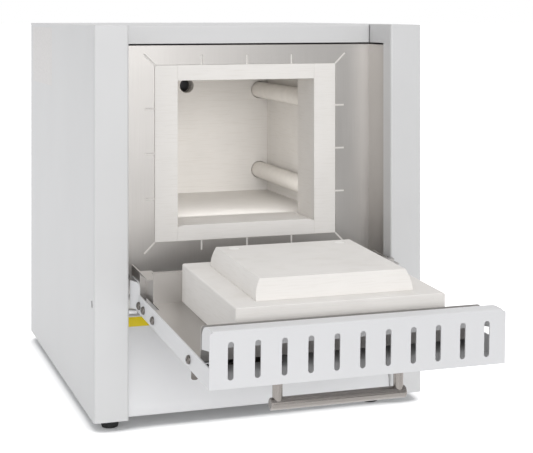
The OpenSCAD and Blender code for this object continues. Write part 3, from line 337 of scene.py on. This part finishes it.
def display_glass(name):
    """Tinted cover glass over a dark display: near black, with a sharp reflection."""
    cloud_mm = 20
    made, tree, shader, place = blank(name)
    haze = add(tree, "ShaderNodeTexNoise", inputs={"Scale": grain(cloud_mm)}, links={"Vector": place})
    paint_over(tree, shader, haze.outputs[0], linear("10181D"), linear("161F25"))
    shader.inputs["Roughness"].default_value = 0.06
    shader.inputs["IOR"].default_value = 1.52
    return made


# Meshes

def finish_node(node, material):
    """Gives a CAD node its material."""
    for entry in NODES[node].material_slots:
        entry.material = material


def eased(node, radius, material, segments=2, limit=25):
    """A copy of a CAD node with its hard edges broken, standing for that node."""
    data = NODES[node].data.copy()
    shape = bmesh.new()
    shape.from_mesh(data)
    bmesh.ops.remove_doubles(shape, verts=shape.verts, dist=1e-6)
    bmesh.ops.dissolve_limit(shape, angle_limit=math.radians(0.2), verts=shape.verts, edges=shape.edges)
    folds = [edge for edge in shape.edges if len(edge.link_faces) == 2]
    sharp = [edge for edge in folds if edge.calc_face_angle(0) > math.radians(limit)]
    bmesh.ops.bevel(shape, geom=sharp, offset=radius, offset_type="OFFSET", segments=segments, profile=0.5,
                    affect="EDGES", clamp_overlap=True)
    for face in shape.faces:
        face.smooth = True
    shape.to_mesh(data)
    shape.free()
    data.materials.clear()
    data.materials.append(material)
    piece = bpy.data.objects.new(node + ".eased", data)
    bpy.context.scene.collection.objects.link(piece)
    data.set_sharp_from_angle(angle=math.radians(60))
    normals = piece.modifiers.new("flat_faces", "WEIGHTED_NORMAL")
    normals.keep_sharp = True
    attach(piece, BODY_OF[node])
    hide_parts(node)
    return piece


def placed(name, shape, material, body, at):
    """Turns a bmesh into a piece that rides on a body, moved by the matrix."""
    data = bpy.data.meshes.new(name)
    bmesh.ops.transform(shape, matrix=at, verts=shape.verts)
    bmesh.ops.recalc_face_normals(shape, faces=shape.faces)
    shape.to_mesh(data)
    shape.free()
    data.materials.append(material)
    for face in data.polygons:
        face.use_smooth = True
    data.set_sharp_from_angle(angle=math.radians(35))
    piece = bpy.data.objects.new(name, data)
    bpy.context.scene.collection.objects.link(piece)
    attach(piece, body)
    return piece


def turned(shape, profile, steps=40):
    """Adds a solid of revolution about Z from a line of (radius, height) points."""
    angles = [2 * math.pi * i / steps for i in range(steps)]
    rings = []
    for radius, height in profile:
        if radius == 0:
            rings.append([shape.verts.new((0, 0, height))])
        else:
            circle = [(radius * math.cos(a), radius * math.sin(a), height) for a in angles]
            rings.append([shape.verts.new(point) for point in circle])
    for lower, upper in zip(rings, rings[1:]):
        for i in range(steps):
            j = (i + 1) % steps
            corners = [ring[k % len(ring)] for ring, k in ((lower, i), (lower, j), (upper, j), (upper, i))]
            unique = list(dict.fromkeys(corners))
            if len(unique) > 2:
                shape.faces.new(unique)


# Operators

class FURNACE_OT_stage(bpy.types.Operator):
    """Sets up the bench, the lamps, the cards and the camera"""
    bl_idname = "furnace.stage"
    bl_label = "Studio"

    def execute(self, context):
        studio = context.scene.furnace_studio
        self.bench()
        self.cards(context)
        self.room(context)
        self.suns(context)
        self.hidden_lamps(context)
        lens = bpy.data.cameras.new("studio_lens")
        lens.lens = studio.lens
        lens.shift_x, lens.shift_y = studio.shift
        lens.clip_end = 200
        camera = bpy.data.objects.new("studio_camera", lens)
        context.scene.collection.objects.link(camera)
        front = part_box("left_side_panel")[0][1]
        camera.location = (-studio.aside, front - studio.distance, studio.height)
        camera.rotation_euler = (math.pi / 2, 0, studio.turn)
        context.scene.camera = camera
        context.scene.view_settings.view_transform = "Standard"
        return {"FINISHED"}

    def bench(self):
        """White paper that clips to white for the camera; ambient occlusion dims its glow round the base, a
        painted shadow on top of the paper's own tight shadow.
        """
        half_width = 60
        shadow_reach = 35 * MM
        below_feet = 0.5 * MM
        shape = bmesh.new()
        bmesh.ops.create_grid(shape, x_segments=2, y_segments=2, size=half_width)
        data = bpy.data.meshes.new("bench")
        shape.to_mesh(data)
        shape.free()
        made = bpy.data.materials.new("white_paper")
        made.use_nodes = True
        tree = made.node_tree
        tree.nodes.clear()
        paper = add(tree, "ShaderNodeBsdfDiffuse", inputs={"Color": (*linear("E6E7E8"), 1)})
        # Ambient occlusion dims the paper's glow near the base: painted shadow
        nearby = add(tree, "ShaderNodeAmbientOcclusion", {"samples": 24},
                     {"Distance": shadow_reach}).outputs["AO"]
        clear = add(tree, "ShaderNodeMapRange", inputs={
            "From Min": 0.42, "From Max": 0.78, "To Min": 0.1, "To Max": 0.75}, links={"Value": nearby})
        glow = add(tree, "ShaderNodeEmission", inputs={"Color": (1, 1, 1, 1)},
                   links={"Strength": clear.outputs[0]})
        lit = add(tree, "ShaderNodeAddShader", links={0: paper.outputs[0], 1: glow.outputs[0]})
        mixed = add(tree, "ShaderNodeMixShader",
                    links={0: self.looked_at(tree), 1: paper.outputs[0], 2: lit.outputs[0]})
        add(tree, "ShaderNodeOutputMaterial", links={"Surface": mixed.outputs[0]})
        data.materials.append(made)
        bench = bpy.data.objects.new("bench", data)
        bench.location.z = -below_feet
        bpy.context.scene.collection.objects.link(bench)

    def room(self, context):
        """Even light from all sides, white behind everything the camera sees."""
        world = bpy.data.worlds.new("studio_room")
        context.scene.world = world
        world.use_nodes = True
        tree = world.node_tree
        tree.nodes.clear()
        even = context.scene.furnace_light.room
        room = add(tree, "ShaderNodeBackground", inputs={"Color": (*linear("FEFEFF"), 1), "Strength": even})
        white = add(tree, "ShaderNodeBackground", inputs={"Color": (1, 1, 1, 1), "Strength": 1.0})
        seen = self.looked_at(tree)
        pick = add(tree, "ShaderNodeMixShader", links={0: seen, 1: room.outputs[0], 2: white.outputs[0]})
        add(tree, "ShaderNodeOutputWorld", links={"Surface": pick.outputs[0]})

    def suns(self, context):
        """Two broad lamps by the camera, each with its turn, its rise and its spread in degrees."""
        for name, turn, rise, spread in (("camera_lamp", -3, 8, 24), ("high_lamp", -7, 32, 30)):
            light = bpy.data.lights.new(name, "SUN")
            light.energy = getattr(context.scene.furnace_light, name)
            light.angle = math.radians(spread)
            lamp = bpy.data.objects.new(name, light)
            lamp.rotation_euler = (math.radians(90 - rise), 0, math.radians(turn))
            context.scene.collection.objects.link(lamp)

    def hidden_lamps(self, context):
        """Small lamps that stay out of sight and fill the muffle, the console and the slots."""
        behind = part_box("collar_top_board")[1][1]
        (left, _, _), (_, _, floor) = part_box("chamber_floor")
        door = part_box("door_shell")[0][1]
        lamps = {
            "muffle_lamp": {"at": (0, behind + 2 * MM, floor + 50 * MM), "facing": (0, 1, 0),
                            "size": (150 * MM, 90 * MM)},
            "wall_lamp": {"at": (left + 32 * MM, behind + 70 * MM, floor + 84 * MM), "facing": (1, 0, 0),
                          "size": (120 * MM, 140 * MM)},
            "console_lamp": {"at": (-30 * MM, door + 30 * MM, 35 * MM), "facing": (0, 1, 0.12),
                             "size": (300 * MM, 40 * MM)},
            "slot_lamp": {"at": (0, door + 12 * MM, 150 * MM), "facing": (0, 1, 0),
                          "size": (280 * MM, 30 * MM)},
        }
        for name, lay in lamps.items():
            light = bpy.data.lights.new(name, "AREA")
            light.shape = "RECTANGLE"
            light.size, light.size_y = lay["size"]
            light.energy = getattr(context.scene.furnace_light, name)
            lamp = bpy.data.objects.new(name, light)
            lamp.location = lay["at"]
            lamp.rotation_euler = Vector(lay["facing"]).to_track_quat("-Z", "Y").to_euler()
            lamp.visible_camera = lamp.visible_glossy = False
            context.scene.collection.objects.link(lamp)

    def looked_at(self, tree):
        """True for what the camera sees, straight or in a gloss."""
        path = add(tree, "ShaderNodeLightPath")
        seen = add(tree, "ShaderNodeMath", {"operation": "MAXIMUM"},
                   links={0: path.outputs["Is Camera Ray"], 1: path.outputs["Is Glossy Ray"]})
        return add(tree, "ShaderNodeMath", {"operation": "MAXIMUM"},
                   links={0: seen.outputs[0], 1: path.outputs["Is Transmission Ray"]}).outputs[0]

    def cards(self, context):
        """Cards in front of the furnace that only the metal shows, as soft bands of light and dark."""
        weave_mm = 4
        far, top = -1.6, 2.2
        cards = {
            "card_left": self.upright((-1.1, far), (0.30, far), 0.25, top),
            "card_right": self.upright((0.32, far), (2.6, -1.0), 0, top),
            "card_floor": [(x, y, 1 * MM) for x, y in ((-0.3, far), (2.6, far), (2.6, -0.75), (0.15, -0.75))],
        }
        for name, corners in cards.items():
            made = bpy.data.materials.new(name + "_cloth")
            made.use_nodes = True
            tree = made.node_tree
            tree.nodes.clear()
            weave = add(tree, "ShaderNodeTexNoise", inputs={"Scale": grain(weave_mm)})
            cloth = add(tree, "ShaderNodeEmission",
                        inputs={"Strength": getattr(context.scene.furnace_light, name)},
                        links={"Color": tone(tree, weave.outputs[0], (0.95,) * 3, (1.0,) * 3)})
            add(tree, "ShaderNodeOutputMaterial", links={"Surface": cloth.outputs[0]})
            data = bpy.data.meshes.new(name)
            data.from_pydata(corners, [], [(0, 1, 2, 3)])
            data.materials.append(made)
            card = bpy.data.objects.new(name, data)
            bpy.context.scene.collection.objects.link(card)
            card.visible_camera = card.visible_diffuse = card.visible_shadow = False

    def upright(self, start, end, low, high):
        """Corners of a card that stands between two points on the floor."""
        return [(*start, low), (*end, low), (*end, high), (*start, high)]


class FURNACE_OT_housing(bpy.types.Operator):
    """Finishes the painted housing, its feet and the yellow strip"""
    bl_idname = "furnace.housing"
    bl_label = "Housing"

    def execute(self, context):
        paint = context.scene.furnace_paint
        edge = context.scene.furnace_metal.edge_radius
        side = powder_coat("powder_coat_housing", paint.housing_grey, paint.peel_pitch)
        front = powder_coat("powder_coat_front", paint.front_grey, paint.peel_pitch)
        # The top panel takes the darker housing grey so that its recessed lintel reads darker: painted shade
        for node in ("left_side_panel", "right_side_panel", "top_panel", "rear_cover", "base_tray"):
            eased(node, edge, side)
        eased("front_console", edge, front)
        finish_node("door_stops", front)
        eased("accent_strip", THIN_EDGE, powder_coat("enamel_strip", paint.strip_yellow, paint.peel_pitch))
        eased("feet", RUBBER_EDGE, moulded_plastic("nitrile_rubber", linear("1A1A1B"), 0.75))
        return {"FINISHED"}


class FURNACE_OT_lining(bpy.types.Operator):
    """Finishes the stainless lining and casing"""
    bl_idname = "furnace.lining"
    bl_label = "Lining"

    def execute(self, context):
        metal = context.scene.furnace_metal
        sheet = brushed_stainless("stainless_lining", metal.sheet_tone, metal.brush_pitch, 2)
        eased("front_liner", THIN_EDGE, sheet)
        finish_node("inner_casing", sheet)
        finish_node("exhaust_spigot", sheet)
        return {"FINISHED"}


class FURNACE_OT_muffle(bpy.types.Operator):
    """Finishes the fibre muffle, its heater tubes and the inner insulation"""
    bl_idname = "furnace.muffle"
    bl_label = "Muffle"

    def execute(self, context):
        fibre = context.scene.furnace_fibre
        sawn = fibre_board("ceramic_fibre_sawn", fibre.board_white, fibre.grain_pitch)
        flat = fibre_board("ceramic_fibre_flat", fibre.board_white, fibre.grain_pitch, 1)
        ceramic = fired_ceramic("alumina_unglazed", fibre.tube_white)
        for node in ("collar_left_board", "collar_right_board", "collar_top_board", "collar_bottom_board"):
            eased(node, COLLAR_EDGE, sawn)
        for node in ("chamber_side_walls", "chamber_rear_wall"):
            finish_node(node, sawn)
        for node in ("chamber_roof", "chamber_floor"):
            finish_node(node, flat)
        for side in ("front", "side", "roof", "floor", "rear"):
            finish_node(side + "_insulation", sawn)
        for node in ("heater_tubes", "thermocouple", "heater_terminals"):
            finish_node(node, ceramic)
        # Near-black ceramic for the exhaust tube, so that the vent hole reads dark: painted shade in the deep
        # hole
        finish_node("exhaust_tube", fired_ceramic("alumina_sooted", linear("2E2C28")))
        finish_node("heating_elements", plated_steel("oxidised_wire", linear("6E6863"), 0.6))
        return {"FINISHED"}


class FURNACE_OT_door(bpy.types.Operator):
    """Finishes the door's shell, tray and fibre plug"""
    bl_idname = "furnace.door"
    bl_label = "Door"

    def execute(self, context):
        paint = context.scene.furnace_paint
        metal = context.scene.furnace_metal
        fibre = context.scene.furnace_fibre
        coat = powder_coat("powder_coat_door", paint.front_grey, paint.peel_pitch)
        sheet = brushed_stainless("stainless_tray", metal.sheet_tone, metal.brush_pitch, 1)
        eased("door_shell", metal.edge_radius, coat)
        eased("door_tray", THIN_EDGE, sheet)
        board = fibre_board("ceramic_fibre_door", fibre.board_white, fibre.grain_pitch)
        eased("door_block", fibre.edge_radius, board, 3)
        eased("door_plug", fibre.edge_radius, board, 3, 40)
        eased("plug_fixings", CERAMIC_EDGE, fired_ceramic("alumina_fixing", linear("F6F4F0")))
        return {"FINISHED"}


class FURNACE_OT_handle(bpy.types.Operator):
    """Finishes the handle bar and its posts"""
    bl_idname = "furnace.handle"
    bl_label = "Handle"

    def execute(self, context):
        metal = context.scene.furnace_metal
        polish = 0.26
        bar = brushed_stainless("stainless_turned", metal.turned_tone, metal.brush_pitch, 0, polish)
        post = brushed_stainless("stainless_post", metal.turned_tone, metal.brush_pitch, 2, polish)
        eased("handle_bar", MOULDED_EDGE, bar)
        eased("handle_posts", MOULDED_EDGE, post)
        return {"FINISHED"}


class FURNACE_OT_fasteners(bpy.types.Operator):
    """Finishes the screws, spacers and hinge pieces"""
    bl_idname = "furnace.fasteners"
    bl_label = "Fasteners"

    def execute(self, context):
        zinc = plated_steel("zinc_plate", linear("B4B6B9"), 0.36)
        dark = plated_steel("browned_steel", linear("6A6663"), 0.2)
        for node in ("rear_screws", "panel_rivets", "hinge_pins", "support_rails", "relay_heat_sink"):
            finish_node(node, zinc)
        eased("door_screws", SCREW_EDGE, dark)
        eased("air_slide", MOULDED_EDGE, dark)
        finish_node("hinge_bushes", moulded_plastic("polyamide_bush", linear("E8E7E2"), 0.5))
        self.blanking_plugs(context.scene.furnace_trim)
        return {"FINISHED"}

    def blanking_plugs(self, trim):
        """One dark plug with a domed head in the return flange of each pillar."""
        plastic = moulded_plastic("blanking_plug", linear("1B1B1C"), 0.5)
        head_r, crown_r, rim, shoulder, crown = 3.6, 2.8, 0.8, 1.8, 2.1
        profile = ((0, 0), (head_r, 0), (head_r, rim), (crown_r, shoulder), (0, crown))
        low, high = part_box("left_side_panel")
        for side, name in ((-1, "blanking_plug_left"), (1, "blanking_plug_right")):
            shape = bmesh.new()
            turned(shape, [(radius * MM, height * MM) for radius, height in profile])
            middle = Matrix.Translation((side * -high[0], low[1] + trim.plug_back, trim.plug_up))
            placed(name, shape, plastic, "housing", middle @ Matrix.Rotation(-side * math.pi / 2, 4, "Y"))


class FURNACE_OT_controls(bpy.types.Operator):
    """Finishes the controller, switch, limiter and what stands behind them"""
    bl_idname = "furnace.controls"
    bl_label = "Controls"

    def execute(self, context):
        black = moulded_plastic("abs_black", linear("242526"), 0.5)
        grey = moulded_plastic("abs_grey", linear("BFC2C5"), 0.45)
        cream = moulded_plastic("polycarbonate_cream", linear("DDDCD4"), 0.45)
        for node in ("controller_bezel", "switch_frame", "switch_rocker", "limiter_knob", "mains_inlet"):
            eased(node, MOULDED_EDGE, black)
        for node in ("key_up", "key_down", "key_menu"):
            eased(node, MOULDED_EDGE, grey)
        eased("key_start", MOULDED_EDGE, moulded_plastic("abs_green", linear("3B8A5B"), 0.45))
        finish_node("controller_display", display_glass("cover_glass"))
        finish_node("control_board", moulded_plastic("epoxy_laminate", linear("1E5B38"), 0.4))
        finish_node("limiter_body", cream)
        finish_node("safety_contactor", cream)
        finish_node("power_relay", black)
        finish_node("door_switch", moulded_plastic("abs_blue", linear("37405F"), 0.45))
        return {"FINISHED"}


class FURNACE_OT_plate(bpy.types.Operator):
    """Adds the bare rating plate on the left side"""
    bl_idname = "furnace.plate"
    bl_label = "Rating plate"

    def execute(self, context):
        trim = context.scene.furnace_trim
        foil = moulded_plastic("polyester_foil", linear("D2CFCD"), 0.4, 2.0)
        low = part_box("left_side_panel")[0]
        outline = []
        for quarter, (sx, sy) in enumerate(((1, 1), (-1, 1), (-1, -1), (1, -1))):
            x = sx * (trim.plate_wide / 2 - trim.plate_corner)
            y = sy * (trim.plate_tall / 2 - trim.plate_corner)
            for step in range(5):
                a = math.radians(90 * quarter + 22.5 * step)
                outline.append((x + trim.plate_corner * math.cos(a), y + trim.plate_corner * math.sin(a), 0))
        shape = bmesh.new()
        face = shape.faces.new([shape.verts.new(point) for point in outline])
        lifted = bmesh.ops.extrude_face_region(shape, geom=[face])["geom"]
        raised = [part for part in lifted if isinstance(part, bmesh.types.BMVert)]
        bmesh.ops.translate(shape, verts=raised, vec=(0, 0, trim.plate_thick))
        sunk = 0.02 * MM
        middle = Matrix.Translation((low[0] + sunk, low[1] + trim.plate_back, trim.plate_up))
        facing_left = Matrix(((0, 0, -1, 0), (-1, 0, 0, 0), (0, 1, 0, 0), (0, 0, 0, 1)))
        placed("rating_plate", shape, foil, "housing", middle @ facing_left)
        return {"FINISHED"}


class FURNACE_PT_panel(bpy.types.Panel):
    """Lists the furnace's finishes"""
    bl_idname = "FURNACE_PT_panel"
    bl_label = "Dental furnace"
    bl_space_type = "VIEW_3D"
    bl_region_type = "UI"
    bl_category = "Furnace"

    def draw(self, context):
        for step in STEPS:
            self.layout.operator(step.bl_idname)
        for group in GROUPS:
            box = self.layout.box()
            settings = getattr(context.scene, group)
            for entry in settings.bl_rna.properties:
                if entry.identifier not in {"rna_type", "name"}:
                    box.prop(settings, entry.identifier)


STEPS = (FURNACE_OT_stage, FURNACE_OT_housing, FURNACE_OT_lining, FURNACE_OT_muffle, FURNACE_OT_door,
         FURNACE_OT_handle, FURNACE_OT_fasteners, FURNACE_OT_controls, FURNACE_OT_plate)
GROUPS = {"furnace_paint": FurnacePaint, "furnace_metal": FurnaceMetal, "furnace_fibre": FurnaceFibre,
          "furnace_trim": FurnaceTrim, "furnace_studio": FurnaceStudio, "furnace_light": FurnaceLight}


def register():
    for group in GROUPS.values():
        bpy.utils.register_class(group)
    for step in (*STEPS, FURNACE_PT_panel):
        bpy.utils.register_class(step)
    for name, group in GROUPS.items():
        setattr(bpy.types.Scene, name, bpy.props.PointerProperty(type=group))


def unregister():
    for name in GROUPS:
        delattr(bpy.types.Scene, name)
    for step in (FURNACE_PT_panel, *reversed(STEPS), *GROUPS.values()):
        bpy.utils.unregister_class(step)


def main():
    """Runs every step in order."""
    register()
    for step in STEPS:
        family, name = step.bl_idname.split(".")
        getattr(getattr(bpy.ops, family), name)()


if __name__ == "__main__":
    main()
